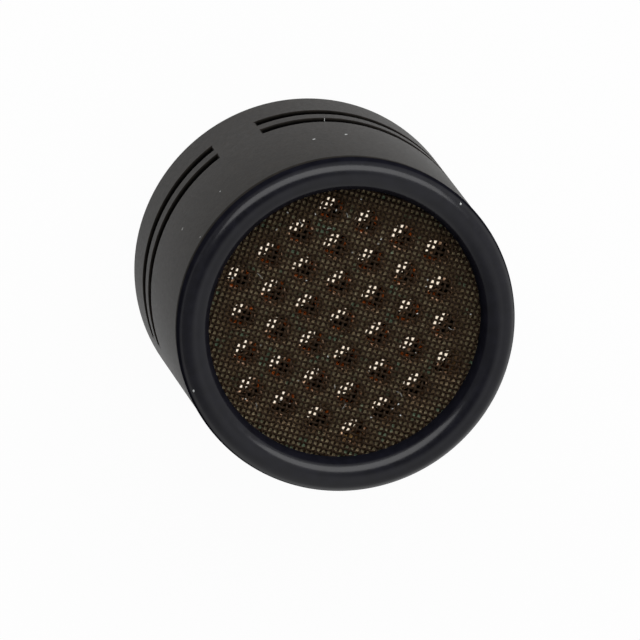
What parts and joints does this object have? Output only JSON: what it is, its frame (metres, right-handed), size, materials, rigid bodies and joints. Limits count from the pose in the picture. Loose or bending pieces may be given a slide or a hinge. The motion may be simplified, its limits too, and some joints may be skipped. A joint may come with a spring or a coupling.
{
  "type": "electret microphone capsule",
  "caption": "Round electret microphone capsule: slotted black barrel, rounded front bezel, wire screen over a drilled brass cup, threaded socket at the rear.",
  "frame": {"origin": "centre of the rear face", "axes": "+Z along the sound axis, from the rear face to the front opening; X and Y run through the ribs between the slot groups"},
  "size_m": [0.0122, 0.0122, 0.0098],
  "materials": {
    "barrel_black": "matte black anodised",
    "bezel_black": "satin black anodised",
    "dark_wire": "blackened woven wire",
    "brass": "turned",
    "gold_film": "metallised mirror",
    "clear_film": "clear film",
    "insulator": "moulded",
    "board": "lacquered laminate",
    "chip_black": "moulded",
    "chip_ceramic": "fired",
    "contact_gold": "gold plated",
    "felt": "felt",
    "black_cloth": "fine cloth",
    "nickel": "nickel plated",
    "tin": "tin plated"
  },
  "bodies": {
    "root": {"barrel": "barrel_black", "front_bezel": "bezel_black", "mesh_screen": "dark_wire", "capsule_cup": "brass", "diaphragm_ring": "brass", "diaphragm": "gold_film", "spacer_ring": "clear_film", "electret_film": "clear_film", "backplate": "brass", "backplate_holder": "insulator", "gate_ring": "brass", "circuit_board": "board", "transistor": "chip_black", "transistor_leads": "tin", "filter_capacitors": "chip_ceramic", "centre_pad": "contact_gold", "ground_pad": "contact_gold", "damping_ring": "felt", "slot_screen": "black_cloth", "rear_socket": "nickel"}
  },
  "joints": []
}
